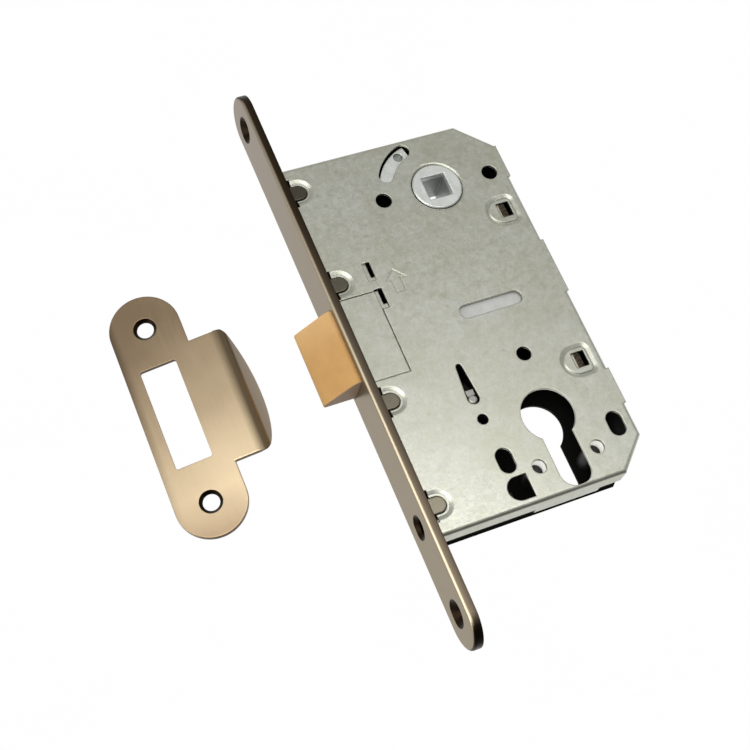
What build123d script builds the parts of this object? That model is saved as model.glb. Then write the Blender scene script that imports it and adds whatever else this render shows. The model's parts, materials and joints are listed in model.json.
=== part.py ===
from build123d import *

import os
from math import asin, atan2, cos, degrees, hypot, radians, sin, sqrt

# Mortise lock with a single reversible latch and a Euro-profile case, and its strike plate.
# Millimetres. +X runs into the door from the faceplate's front face, +Y runs through the door's
# thickness (the cover is on the -Y side), +Z is up. Height 0 is the follower's axis.

# Standard lock sizes
BACKSET = 50.0
CENTRES = 85.0
HANDLE_SPACING = 38.0
SPINDLE_SQUARE = 8.1
EURO_R = 8.6
EURO_WEB = 10.4
EURO_END_R = 4.6

# Case
CASE_FRONT = 3.0
CASE_REAR = 75.0
CASE_TOP = 20.0
CASE_BOTTOM = -110.0
CASE_HALF = 7.0
SHEET = 1.0
TOP_CUT = 10.3
BOTTOM_CUT = 9.8
FOLD_RADIUS = 1.3
FOLD_BACK = 0.2
FOLD_TONGUE = (36.0, 58.0, 2.6)
WALL_GAP = 0.05
INNER = CASE_HALF - SHEET
FLAT_REAR_SPANS = [(9.0, -3.2), (-28.5, -48.0), (-76.8, -89.2)]
FLAT_OVERHANG = 0.35
BACK_INSET = 0.3
WALL_OUT = SHEET + WALL_GAP
WALL_IN = WALL_OUT + SHEET
RECESS_DEPTH = 0.55
SHOULDER = (1.1, 0.45)
STAKE_R = 1.75
STAKE_GAP = 0.02
ARM_NOTCH_Y = (-6.0, -2.8)
ARM_NOTCH_WIDTH = 12.0

# Faceplate and its bracket
PLATE_THICKNESS = 3.0
PLATE_WIDTH = 18.0
PLATE_LENGTH = 196.0
PLATE_TOP = 53.6
PLATE_EDGE_R = 1.0
SCREW_INSET = 11.4
SCREW_HOLE_R = 2.4
SCREW_SINK_R = 4.5
CYLINDER_SCREW_Z = -103.5
CYLINDER_SCREW_R = 2.75
CYLINDER_SINK_R = 4.0
BRACKET_THICKNESS = 1.2
BRACKET_HALF = 5.85
LUG_HEIGHTS = [10.8, -24.0, -65.6, -100.5]
LUG_WIDTH = 5.2
LUG_TIP = 8.6
LUG_GAP = 0.2
LUG_RECESS = (7.2, 9.6)

# Latch
LATCH_TOP = -31.2
LATCH_BOTTOM = -56.7
LATCH_HALF = 5.9
LATCH_TIP = -10.7
LATCH_TRAVEL = 10.5
HEAD_REAR = 13.0
CARRIAGE_BLOCK = (13.2, 24.0)
CARRIAGE_TAIL_END = 61.0
TAIL_HEIGHT = -45.0
PIN_X = 10.4
PIN_R = 1.25
PLAY = 0.1
TONGUE_X = 7.9
TONGUE_Y = (-3.0, 1.0)
TONGUE_Z = (-48.0, -40.0)
TAIL_Y = (-5.5, -1.5)
PRONG = 1.9
SPRING_Z = -51.6
SPRING_STOP_X = 44.0
CATCH_X = (13.6, 20.4)
CATCH_Z = (-28.6, -17.0)
SPRING_WIRE_R = 0.45
SPRING_COIL_R = 2.5
GUIDE_ROD_R = 1.7

# Follower and levers
HOLE_R = 8.3
HOLE_RIM_R = 0.95
JOURNAL_R = 8.23
HUB_TURN = 35.0
ARM_REACH = 14.0
ARM_NOSE_R = 2.2
ARC_REACH = 16.5
LEVER_PIVOT_DROP = 25.0
LEVER_LAYER = (-1.2, 1.8)
LEVER_NOSE_R = 2.5
LEVER_SLOT_GAP = 0.3
KEY_AXLE = (30.1, -72.8)
KEY_NOSE_REACH = 15.0
KEY_NOSE_R = 2.0
KEY_LAYER = (-4.5, -1.5)
KEY_CAM_POINT = (8.0, -9.2)
KEY_AXLE_R = 1.6
BEARING_GAP = 0.05
HUB_BARREL_R = 10.6
HUB_NECK_R = 9.3
HUB_WAIST_R = 8.7
UPPER_ARM_Y = (-5.6, -3.2)
UPPER_ARM_R = 18.6
UPPER_ARM_ANGLES = (105.0, 162.0)
RETURN_COIL_R = 10.3
RETURN_WIRE_R = 0.45
COIL_BACK = 5.3
COIL_FRONT = 2.8
PEG_REACH = 13.4
PEG_R = 1.0
PEG_END = 4.0
POST_R = 2.2
RETURN_POST = (35.6, -9.4)
BOSS_R = 4.6
PIVOT_R = 2.4

# Window and slots in the cover
WINDOW_CENTRE = (48.9, -45.0)
WINDOW_SIZE = (21.8, 4.8)
ARC_SLOT_R = 16.8
ARC_SLOT_WIDTH = 5.0
ARC_SLOT_ANGLES = (110.5, 150.0)
ESCUTCHEON_SLOT_Z = -94.6
ESCUTCHEON_SLOT = (8.3, 5.4)
SLEEVE_SPACING = 20.0
SLEEVE_Z = -99.6
SLEEVE_R = 2.25
TENON_CENTRES = [(68.0, -14.5), (68.0, -71.3)]
TENON_RECESS_SHIFT = (-1.2, -0.3)
TENON_RECESS = 9.2
TENON_PLATEAU = 8.8
SPARE_TENON = (31.3, -104.0)
TENON_FRONTS = (-6.4, -6.4, 3.0)
HATCH = (15.6, -29.5, -58.4)
HATCH_GAP = 0.05
HATCH_CHAMFER = 0.3
UPPER_SLOT = (15.1, 17.7, -26.0, -19.4)
LOWER_SLOT = (15.3, 17.9, -36.1, -29.1)
ARROW = (23.6, -23.8, -32.2)

# Strike plate, lying beside the faceplate with its lip and its far edge down
STRIKE_ORIGIN = (-53.8, 3.0, -15.8)
STRIKE_TILT = 13.0
STRIKE_SCREW_SPACING = 59.0
STRIKE_WIDTH = 22.0
STRIKE_THICKNESS = 1.5
STRIKE_OPENING = (11.4, 33.2)
STRIKE_OPENING_SHIFT = -0.4
STRIKE_TAB_WIDTH = 41.4
STRIKE_BEND_AT = 18.6
STRIKE_BEND_R = 2.7
STRIKE_BEND_ANGLE = 69.0
STRIKE_LIP = 8.6
STRIKE_LIP_ARC_R = 25.0
STRIKE_HOLE_R = 2.6
STRIKE_SINK_R = 3.6
STRIKE_RIM_R = 0.4

# Worked out from the sizes above
hub_swing = radians(HUB_TURN / 2)
nose_x = ARM_REACH * sin(hub_swing)
nose_drop = ARM_REACH * cos(hub_swing)
lever_swing = atan2(nose_x, LEVER_PIVOT_DROP - nose_drop)
lever_reach = LATCH_TRAVEL / 2 / sin(lever_swing)
fork_x = BACKSET - LATCH_TRAVEL / 2
key_swing = asin(LATCH_TRAVEL / 2 / KEY_NOSE_REACH)
key_fork_x = KEY_AXLE[0] - LATCH_TRAVEL / 2
latch_middle = (LATCH_TOP + LATCH_BOTTOM) / 2
tenon_recesses = [(x + TENON_RECESS_SHIFT[0], z + TENON_RECESS_SHIFT[1]) for x, z in TENON_CENTRES]


def side_plane(y):
    """Sketch plane at depth y: local x is +X, local y is +Z, and extrusions run towards -Y."""
    return Plane.XZ.offset(-y)


def case_outline(inset):
    """Corners of the case seen from the side, with its three walls moved inwards."""
    cut_loss = inset * (2 - sqrt(2))
    top = CASE_TOP - inset
    bottom = CASE_BOTTOM + inset
    rear = CASE_REAR - inset
    upper = TOP_CUT - cut_loss
    lower = BOTTOM_CUT - cut_loss
    return [
        (CASE_FRONT, bottom),
        (rear - lower, bottom),
        (rear, bottom + lower),
        (rear, top - upper),
        (rear - upper, top),
        (CASE_FRONT, top),
    ]


def finish(piece, name, color):
    """Labels a finished piece and writes its STEP file."""
    piece.part.label = name
    piece.part.color = Color(*color)
    export_step(piece.part, "parts/" + name + ".step")


STEEL = (0.72, 0.74, 0.70)
BRONZE = (0.55, 0.46, 0.34)
ZINC = (0.62, 0.65, 0.65)
NYLON = (0.90, 0.90, 0.87)
OCHRE = (0.80, 0.62, 0.35)
DARK_STEEL = (0.38, 0.36, 0.34)

os.makedirs("parts", exist_ok=True)


# ---------------------------------------------------------------- case cover
def euro_profile():
    """Euro-profile cut-out, added to the current sketch: a circle and a round-cornered slot below it."""
    with Locations((BACKSET, -CENTRES)):
        Circle(EURO_R)
    with Locations((BACKSET, -CENTRES - 12.0)):
        RectangleRounded(EURO_WEB, 23.8, EURO_END_R)


def plate_holes():
    """Holes that pass through both sides of the case, added to the current sketch."""
    with Locations((BACKSET, 0)):
        Circle(HOLE_R)
    with Locations((BACKSET, 0)):
        with GridLocations(HANDLE_SPACING, 1, 2, 1):
            Circle(2.65)
    with Locations((BACKSET, ESCUTCHEON_SLOT_Z)):
        with GridLocations(HANDLE_SPACING, 1, 2, 1):
            SlotOverall(*ESCUTCHEON_SLOT, rotation=90)
    with Locations((BACKSET, SLEEVE_Z)):
        with GridLocations(SLEEVE_SPACING, 1, 2, 1):
            Circle(SLEEVE_R)
    with Locations((51.6, -64.0)):
        Circle(2.4)
    euro_profile()


def lug_recess(width, tip):
    """Round-ended recess from the case's front edge, at each lug, added to the current sketch."""
    straight = tip - width / 2 - CASE_FRONT
    for height in LUG_HEIGHTS:
        with Locations((CASE_FRONT + straight / 2, height)):
            Rectangle(straight, width)
        with Locations((tip - width / 2, height)):
            Circle(width / 2)


def d_shape(centre, size, corner_r=0.3):
    """D outline, round towards the faceplate and flat towards the rear, added to the current sketch."""
    x, z = centre
    with Locations((x, z)):
        Circle(size / 2)
    with Locations((x + size / 4, z)):
        Rectangle(size / 2, size)
    flat_ends = vertices().filter_by(lambda v: abs(v.X - x - size / 2) < 0.01 and abs(v.Y - z) < size)
    fillet(flat_ends, corner_r)


def arrow_outline():
    """Corners of an upright block arrow."""
    x, tip, base = ARROW
    barb = tip - 3.8
    return [
        (x, tip),
        (x + 3.6, barb),
        (x + 1.7, barb),
        (x + 1.7, base),
        (x - 1.7, base),
        (x - 1.7, barb),
        (x - 3.6, barb),
    ]


def in_recess(point):
    """True for a point on the rim of a lug recess or a tenon recess, away from the case's own edges."""
    near_lug = any(abs(point.Z - height) < 5.0 for height in LUG_HEIGHTS)
    on_lug = near_lug and CASE_FRONT + 0.1 < point.X < 11.0
    on_tenon = any(hypot(point.X - x, point.Z - z) < 6.5 for x, z in tenon_recesses)
    return on_lug or on_tenon


with BuildPart() as case_cover:
    with BuildSketch(side_plane(FOLD_BACK)):
        with BuildLine():
            Polyline(*case_outline(0), close=True)
        make_face()
    extrude(amount=FOLD_BACK + CASE_HALF)
    outer_edges = case_cover.edges().filter_by(lambda e: abs(e.center().Y + CASE_HALF) < 0.01)
    fillet(outer_edges.filter_by(lambda e: e.center().X > CASE_FRONT + 0.1), FOLD_RADIUS)
    with BuildSketch(side_plane(FOLD_BACK)):
        with BuildLine():
            Polyline(*case_outline(SHEET), close=True)
        make_face()
    extrude(amount=FOLD_BACK + INNER, mode=Mode.SUBTRACT)

    # Flat stretches of the rear edge, where the fold is relieved
    for top, bottom in FLAT_REAR_SPANS:
        middle = (top + bottom) / 2
        span = top - bottom
        with BuildSketch(side_plane(FOLD_BACK + 0.1)):
            with Locations((CASE_REAR - SHEET / 2, middle)):
                Rectangle(2.2, span)
        extrude(amount=FOLD_BACK + CASE_HALF + 0.2, mode=Mode.SUBTRACT)
        with BuildSketch(side_plane(-INNER)):
            with Locations((CASE_REAR + FLAT_OVERHANG - 1.6, middle)):
                Rectangle(3.2, span)
        extrude(amount=SHEET)

    # Deeper tongue of the bottom fold
    tongue_start, tongue_end, tongue_back = FOLD_TONGUE
    with BuildSketch(side_plane(tongue_back)):
        with Locations(((tongue_start + tongue_end) / 2, CASE_BOTTOM + SHEET / 2)):
            Rectangle(tongue_end - tongue_start, SHEET)
    extrude(amount=tongue_back - FOLD_BACK)

    # Pressed recesses for the lugs and tenons, with wide sloping shoulders
    with BuildSketch(side_plane(-CASE_HALF + RECESS_DEPTH)):
        lug_recess(*LUG_RECESS)
        for centre in tenon_recesses:
            d_shape(centre, TENON_RECESS, 1.6)
    extrude(amount=RECESS_DEPTH + 0.1, mode=Mode.SUBTRACT)
    rims = case_cover.edges().filter_by(lambda e: abs(e.center().Y + CASE_HALF) < 0.01)
    rims = rims.filter_by(lambda e: in_recess(e.center()))
    outer_face = case_cover.faces().sort_by(Axis.Y)[0]
    chamfer(rims, SHOULDER[0], SHOULDER[1], reference=outer_face)
    # Raised plateau inside each tenon recess
    with BuildSketch(side_plane(-CASE_HALF + RECESS_DEPTH)):
        for centre in tenon_recesses:
            d_shape(centre, TENON_PLATEAU, 1.4)
    extrude(amount=RECESS_DEPTH - 0.15)
    plateau_rims = case_cover.edges().filter_by(lambda e: abs(e.center().Y + CASE_HALF - 0.15) < 0.01)
    chamfer(plateau_rims, 0.3)

    # Outlined arrow beside the hatch, pressed into the sheet: it shows which way the catch moves
    with BuildSketch(side_plane(-CASE_HALF + 0.15)):
        with BuildLine():
            Polyline(*arrow_outline(), close=True)
        make_face()
        offset(amount=-0.4, kind=Kind.INTERSECTION, mode=Mode.SUBTRACT)
    extrude(amount=0.3, mode=Mode.SUBTRACT)

    # Through features
    with BuildSketch(side_plane(-INNER + 0.1)):
        plate_holes()
        lug_recess(LUG_WIDTH + 2 * LUG_GAP, LUG_TIP + LUG_GAP)
        with Locations((30.0, -80.1)):
            Circle(1.75)
        with Locations(WINDOW_CENTRE):
            SlotOverall(*WINDOW_SIZE)
        d_shape(SPARE_TENON, 7.7)
        with Locations(*TENON_CENTRES):
            Rectangle(4.5, 5.3)
        for height in LUG_HEIGHTS:
            with Locations((CASE_FRONT + 0.7, height)):
                Rectangle(1.4, 10.4)
        for left, right, low, high in (UPPER_SLOT, LOWER_SLOT):
            with Locations(((left + right) / 2, (low + high) / 2)):
                Rectangle(right - left, high - low)
        hatch_x, hatch_top, hatch_bottom = HATCH
        with Locations(((CASE_FRONT + hatch_x + HATCH_GAP) / 2, (hatch_top + hatch_bottom) / 2)):
            Rectangle(hatch_x + HATCH_GAP - CASE_FRONT, hatch_top - hatch_bottom + 2 * HATCH_GAP)
    extrude(amount=SHEET + 1.2, mode=Mode.SUBTRACT)
    with BuildSketch(side_plane(-INNER + 0.1)):
        with BuildLine():
            arc = CenterArc(
                (BACKSET, 0), ARC_SLOT_R, ARC_SLOT_ANGLES[0], ARC_SLOT_ANGLES[1] - ARC_SLOT_ANGLES[0]
            )
        SlotArc(arc, ARC_SLOT_WIDTH)
    extrude(amount=SHEET + 0.2, mode=Mode.SUBTRACT)
    with BuildSketch(side_plane(-INNER + 0.1)):
        with Locations((KEY_AXLE[0], -61.85)):
            Circle(1.05)
        with Locations(KEY_AXLE):
            Circle(2.0)
        make_hull()
    extrude(amount=SHEET + 0.2, mode=Mode.SUBTRACT)

    # Rolled rim round the follower
    hole_rim = case_cover.edges().filter_by(GeomType.CIRCLE)
    hole_rim = hole_rim.filter_by(lambda e: e.center().Y < -CASE_HALF + 0.01)
    hole_rim = hole_rim.filter_by(lambda e: abs(e.radius - HOLE_R) < 0.01)
    fillet(hole_rim, HOLE_RIM_R)
finish(case_cover, "case_cover", STEEL)


# ---------------------------------------------------------------- case back shell
LEVER_PIVOT = (BACKSET, -LEVER_PIVOT_DROP)
SPRING_STOP = (SPRING_STOP_X + 1.5, SPRING_Z)
STAKES = [LEVER_PIVOT, SPRING_STOP, RETURN_POST, *TENON_CENTRES, SPARE_TENON]

with BuildPart() as case_back:
    with BuildSketch(side_plane(CASE_HALF)):
        with BuildLine():
            Polyline(*case_outline(BACK_INSET), close=True)
        make_face()
    extrude(amount=SHEET)
    rear_edges = case_back.edges().filter_by(lambda e: abs(e.center().Y - CASE_HALF) < 0.01)
    fillet(rear_edges.filter_by(lambda e: e.center().X > CASE_FRONT + 0.1), 0.6)
    with BuildSketch(side_plane(INNER)):
        with BuildLine():
            Polyline(*case_outline(WALL_OUT), close=True)
        make_face()
        with BuildLine():
            Polyline(*case_outline(WALL_IN), close=True)
        make_face(mode=Mode.SUBTRACT)
    extrude(amount=2 * INNER - 0.1)
    with BuildSketch(side_plane(CASE_HALF + 0.1)):
        lug_recess(*LUG_RECESS)
    extrude(amount=RECESS_DEPTH + 0.1, mode=Mode.SUBTRACT)
    with BuildSketch(side_plane(CASE_HALF + 0.1)):
        plate_holes()
        lug_recess(LUG_WIDTH + 2 * LUG_GAP, LUG_TIP + LUG_GAP)
        with Locations(*STAKES):
            Circle(STAKE_R + STAKE_GAP)
        with Locations(KEY_AXLE):
            Circle(KEY_AXLE_R + STAKE_GAP)
    extrude(amount=SHEET + 0.2, mode=Mode.SUBTRACT)
    # Notch in the top wall's edge, which the follower's spring arm swings through
    with BuildSketch(side_plane(ARM_NOTCH_Y[1])):
        with Locations((BACKSET, CASE_TOP - WALL_OUT - SHEET / 2)):
            Rectangle(ARM_NOTCH_WIDTH, SHEET + 0.2)
    extrude(amount=ARM_NOTCH_Y[1] - ARM_NOTCH_Y[0], mode=Mode.SUBTRACT)
    # The bottom wall is open below the cylinder cut-out, so that the cylinder can pass
    with BuildSketch(side_plane(INNER + 0.1)):
        with Locations((BACKSET, CASE_BOTTOM + 1.5)):
            Rectangle(EURO_WEB, 2.2)
    extrude(amount=2 * INNER, mode=Mode.SUBTRACT)
finish(case_back, "case_back", STEEL)


# ---------------------------------------------------------------- faceplate
plate_bottom = PLATE_TOP - PLATE_LENGTH
plate_middle = (PLATE_TOP + plate_bottom) / 2
screw_spacing = PLATE_LENGTH - 2 * SCREW_INSET


def front_plane(x):
    """Sketch plane at x behind the faceplate's front: local x is +Y, local y is +Z, extrusions run +X."""
    return Plane.YZ.offset(x)


with BuildPart() as faceplate:
    with BuildSketch(front_plane(0)):
        with Locations((0, plate_middle)):
            SlotOverall(PLATE_LENGTH, PLATE_WIDTH, rotation=90)
    extrude(amount=PLATE_THICKNESS)
    front_edges = faceplate.edges().filter_by(lambda e: abs(e.center().X) < 0.01)
    fillet(front_edges, PLATE_EDGE_R)
    with BuildSketch(front_plane(-0.1)):
        with Locations((0, latch_middle)):
            Rectangle(2 * LATCH_HALF + 0.5, LATCH_TOP - LATCH_BOTTOM + 0.5)
    extrude(amount=PLATE_THICKNESS + 0.2, mode=Mode.SUBTRACT)
    with Locations(Plane(origin=(0, 0, plate_middle), x_dir=(0, 1, 0), z_dir=(-1, 0, 0))):
        with GridLocations(1, screw_spacing, 1, 2):
            CounterSinkHole(SCREW_HOLE_R, SCREW_SINK_R, counter_sink_angle=90)
    with Locations(Plane(origin=(0, 0, CYLINDER_SCREW_Z), x_dir=(0, 1, 0), z_dir=(-1, 0, 0))):
        CounterSinkHole(CYLINDER_SCREW_R, CYLINDER_SINK_R, counter_sink_angle=90)
finish(faceplate, "faceplate", BRONZE)


# ---------------------------------------------------------------- lug brackets, above and below the latch
bracket_top = CASE_TOP - WALL_IN - 0.1
bracket_bottom = CASE_BOTTOM + WALL_IN + 0.1

with BuildPart() as lug_brackets:
    with BuildSketch(front_plane(CASE_FRONT)):
        with Locations((0, (bracket_top + bracket_bottom) / 2)):
            Rectangle(2 * BRACKET_HALF, bracket_top - bracket_bottom)
        for height in LUG_HEIGHTS:
            with Locations((0, height)):
                with GridLocations(2 * BRACKET_HALF, LUG_WIDTH + 2.6, 2, 2):
                    Rectangle(3.0, 2.6, mode=Mode.SUBTRACT)
                Rectangle(2 * CASE_HALF - 0.1, LUG_WIDTH)
        with Locations((0, latch_middle)):
            Rectangle(2 * LATCH_HALF + 2.0, LATCH_TOP - LATCH_BOTTOM + 0.8, mode=Mode.SUBTRACT)
        with Locations((0, CYLINDER_SCREW_Z)):
            Circle(CYLINDER_SCREW_R, mode=Mode.SUBTRACT)
    extrude(amount=BRACKET_THICKNESS)
    for face_y in (-CASE_HALF + 1.05, CASE_HALF - 0.05):
        with BuildSketch(side_plane(face_y)):
            lug_recess(LUG_WIDTH, LUG_TIP)
        extrude(amount=1.0)
    lug_rims = lug_brackets.edges().filter_by(GeomType.CIRCLE)
    lug_rims = lug_rims.filter_by(lambda e: abs(abs(e.center().Y) - CASE_HALF + 0.05) < 0.01)
    fillet(lug_rims, 0.35)
finish(lug_brackets, "lug_brackets", DARK_STEEL)


# ---------------------------------------------------------------- latch
def block(x_range, y_range, z_range, mode=Mode.ADD):
    """Rectangular block between three pairs of limits, added to the current part."""
    size = [abs(high - low) for low, high in (x_range, y_range, z_range)]
    centre = tuple((low + high) / 2 for low, high in (x_range, y_range, z_range))
    with Locations(centre):
        Box(*size, mode=mode)


with BuildPart() as latch_head:
    with BuildSketch(Plane.XY.offset(LATCH_BOTTOM)):
        with BuildLine():
            Polyline(
                (HEAD_REAR, -LATCH_HALF),
                (-0.9, -LATCH_HALF),
                (-2.7, -LATCH_HALF + 1.2),
                (LATCH_TIP, LATCH_HALF - 1.7),
                (LATCH_TIP, LATCH_HALF),
                (HEAD_REAR, LATCH_HALF),
                close=True,
            )
        make_face()
        corners = vertices().sort_by(Axis.X)
        fillet(corners[:2], 0.8)
        fillet(vertices().filter_by(lambda v: -3.5 < v.X < -0.5), 1.6)
    extrude(amount=LATCH_TOP - LATCH_BOTTOM)
    end_edges = latch_head.edges().filter_by(lambda e: abs(e.center().Z - latch_middle) > 12.0)
    fillet(end_edges.filter_by(lambda e: e.center().X < HEAD_REAR - 0.5), 0.4)
    block(
        (TONGUE_X - PLAY, HEAD_REAR + 1),
        (TONGUE_Y[0] - PLAY, TONGUE_Y[1] + PLAY),
        (TONGUE_Z[0] - PLAY, TONGUE_Z[1] + PLAY),
        mode=Mode.SUBTRACT,
    )
    with BuildSketch(side_plane(LATCH_HALF + 1)):
        with Locations((PIN_X, TAIL_HEIGHT)):
            Circle(PIN_R + BEARING_GAP)
    extrude(amount=2 * LATCH_HALF + 2, mode=Mode.SUBTRACT)
finish(latch_head, "latch_head", OCHRE)

TAIL_Z = (TAIL_HEIGHT - 3.2, TAIL_HEIGHT + 3.2)
FORK_Y = (LEVER_LAYER[0] - 0.4, LEVER_LAYER[1] + 0.3)
FORK_HALF = LEVER_NOSE_R + LEVER_SLOT_GAP
KEY_FORK_HALF = KEY_NOSE_R + LEVER_SLOT_GAP

with BuildPart() as latch_carriage:
    block(CARRIAGE_BLOCK, (-5.6, 5.4), (-55.2, -37.0))
    block((TONGUE_X, CARRIAGE_BLOCK[0]), TONGUE_Y, TONGUE_Z)
    block((CARRIAGE_BLOCK[1], CARRIAGE_TAIL_END), TAIL_Y, TAIL_Z)
    # Fork for the retractor lever, behind the tail
    fork_outer = FORK_HALF + PRONG
    block((fork_x - fork_outer, fork_x + fork_outer), (TAIL_Y[0], FORK_Y[1]), (-46.5, -43.6))
    for side in (-1, 1):
        inner = fork_x + side * FORK_HALF
        outer = fork_x + side * fork_outer
        block((inner, outer), FORK_Y, (-46.5, -37.6))
    # Fork for the key lever, below the block
    for side in (-1, 1):
        inner = key_fork_x + side * KEY_FORK_HALF
        outer = key_fork_x + side * (KEY_FORK_HALF + PRONG)
        block((inner, outer), KEY_LAYER, (-59.9, -54.0))
    block(
        (key_fork_x - KEY_FORK_HALF - PRONG, key_fork_x + KEY_FORK_HALF + PRONG),
        KEY_LAYER,
        (-55.4, -48.6),
    )
    with BuildSketch(side_plane(TONGUE_Y[1] + 1)):
        with Locations((PIN_X, TAIL_HEIGHT)):
            Circle(PIN_R + BEARING_GAP)
    extrude(amount=10, mode=Mode.SUBTRACT)
    with BuildSketch(front_plane(CARRIAGE_BLOCK[0] - 0.1)):
        with Locations((0, SPRING_Z)):
            Circle(GUIDE_ROD_R + 0.3)
    extrude(amount=20, mode=Mode.SUBTRACT)
    with BuildSketch(front_plane(CARRIAGE_BLOCK[1])):
        with Locations((0, SPRING_Z)):
            Circle(SPRING_COIL_R + 1.0)
    extrude(amount=6, mode=Mode.SUBTRACT)
finish(latch_carriage, "latch_carriage", NYLON)

with BuildPart() as latch_pin:
    with BuildSketch(side_plane(LATCH_HALF - 0.2)):
        with Locations((PIN_X, TAIL_HEIGHT)):
            Circle(PIN_R)
    extrude(amount=2 * LATCH_HALF - 0.4)
    chamfer(latch_pin.edges().filter_by(GeomType.CIRCLE), 0.25)
finish(latch_pin, "latch_pin", DARK_STEEL)


def compression_spring(start, length, coils, coil_r, wire_r):
    """Helical spring running +X from its start point; returns it as a solid."""
    with BuildPart() as spring:
        with BuildLine():
            path = Helix(
                pitch=(length - 2 * wire_r) / coils,
                height=length - 2 * wire_r,
                radius=coil_r,
                center=(start[0] + wire_r, start[1], start[2]),
                direction=(1, 0, 0),
            )
        with BuildSketch(path ^ 0):
            Circle(wire_r)
        sweep(path=path, is_frenet=True)
    return spring


latch_spring = compression_spring(
    (CARRIAGE_BLOCK[1] + 0.05, 0, SPRING_Z),
    SPRING_STOP_X - CARRIAGE_BLOCK[1] - 0.1,
    9,
    SPRING_COIL_R,
    SPRING_WIRE_R,
)
finish(latch_spring, "latch_spring", STEEL)

STOP_X = (SPRING_STOP_X, SPRING_STOP_X + 3.0)
STOP_Z = (SPRING_Z - 3.6, SPRING_Z + 2.9)

with BuildPart() as spring_stop:
    block(STOP_X, (-4.0, INNER), STOP_Z)
    with BuildSketch(side_plane(CASE_HALF)):
        with Locations(SPRING_STOP):
            Circle(STAKE_R)
    extrude(amount=SHEET)
    with BuildSketch(front_plane(STOP_X[0] - 0.1)):
        with Locations((0, SPRING_Z)):
            Circle(GUIDE_ROD_R + STAKE_GAP)
    extrude(amount=4, mode=Mode.SUBTRACT)
finish(spring_stop, "spring_stop", DARK_STEEL)

with BuildPart() as spring_guide_rod:
    with BuildSketch(front_plane(CARRIAGE_BLOCK[0] + 12.8)):
        with Locations((0, SPRING_Z)):
            Circle(GUIDE_ROD_R)
    extrude(amount=STOP_X[1] - CARRIAGE_BLOCK[0] - 12.8)
    chamfer(spring_guide_rod.edges().filter_by(GeomType.CIRCLE).sort_by(Axis.X)[0], 0.4)
finish(spring_guide_rod, "spring_guide_rod", STEEL)

RAIL_X = (CASE_FRONT + BRACKET_THICKNESS + 0.1, 12.6)

with BuildPart() as latch_guides:
    for low, high in ((LATCH_TOP + 0.2, LATCH_TOP + 2.0), (LATCH_BOTTOM - 2.0, LATCH_BOTTOM - 0.2)):
        block(RAIL_X, (-INNER + 0.15, INNER), (low, high))
finish(latch_guides, "latch_guides", NYLON)

TONGUE_LAYER = (-INNER - 0.75, -INNER - 0.05)
CATCH_LAYER = (-INNER + 0.05, -INNER + 1.05)

with BuildPart() as latch_hatch:
    hatch_width = HATCH[0] - CASE_FRONT
    hatch_height = HATCH[1] - HATCH[2]
    with BuildSketch(side_plane(-INNER)):
        with Locations(((CASE_FRONT + HATCH[0]) / 2, (HATCH[1] + HATCH[2]) / 2)):
            Rectangle(hatch_width - 0.1, hatch_height)
    extrude(amount=SHEET - 0.05)
    hatch_rim = latch_hatch.edges().filter_by(lambda e: e.center().Y < -CASE_HALF + 0.1)
    chamfer(hatch_rim.filter_by(lambda e: e.center().X > CASE_FRONT + 0.2), HATCH_CHAMFER)
    # Hooked tongue, seen in the lower slot
    left, right, low, high = LOWER_SLOT
    block((HATCH[0] - 0.3, left + 1.1), TONGUE_LAYER, (low + 0.2, high - 0.6))
    block((HATCH[0] - 0.3, right - 0.2), TONGUE_LAYER, (low + 0.2, low + 1.5))
finish(latch_hatch, "latch_hatch", STEEL)

with BuildPart() as reversing_catch:
    block(CATCH_X, CATCH_LAYER, CATCH_Z)
    block((CATCH_X[0], CATCH_X[0] + 1.6), (CATCH_LAYER[0], -2.0), (CATCH_Z[0] - 2.0, CATCH_Z[0] + 0.6))
    # Window for a finger or a screwdriver's tip, behind the upper slot
    block((16.6, 18.4), (CATCH_LAYER[0] - 0.1, CATCH_LAYER[1] + 0.1), (-24.4, -18.4), mode=Mode.SUBTRACT)
finish(reversing_catch, "reversing_catch", STEEL)


# ---------------------------------------------------------------- follower
def turned_about_y(reach, angle):
    """Point (x, z) at a reach from the follower axis; the angle is from +X towards +Z, in degrees."""
    return (BACKSET + reach * cos(radians(angle)), reach * sin(radians(angle)))


nose_angle = -90 + degrees(hub_swing)
hole_angle = 117.0
post_angle = degrees(atan2(RETURN_POST[1], RETURN_POST[0] - BACKSET))
post_reach = hypot(RETURN_POST[0] - BACKSET, RETURN_POST[1])
leg_gap = RETURN_WIRE_R + BEARING_GAP
fixed_leg_angle = post_angle + degrees((POST_R + leg_gap) / post_reach)
free_leg_angle = nose_angle - degrees((PEG_R + leg_gap) / PEG_REACH)
coil_turns = (fixed_leg_angle - free_leg_angle + 720) / 360

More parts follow.
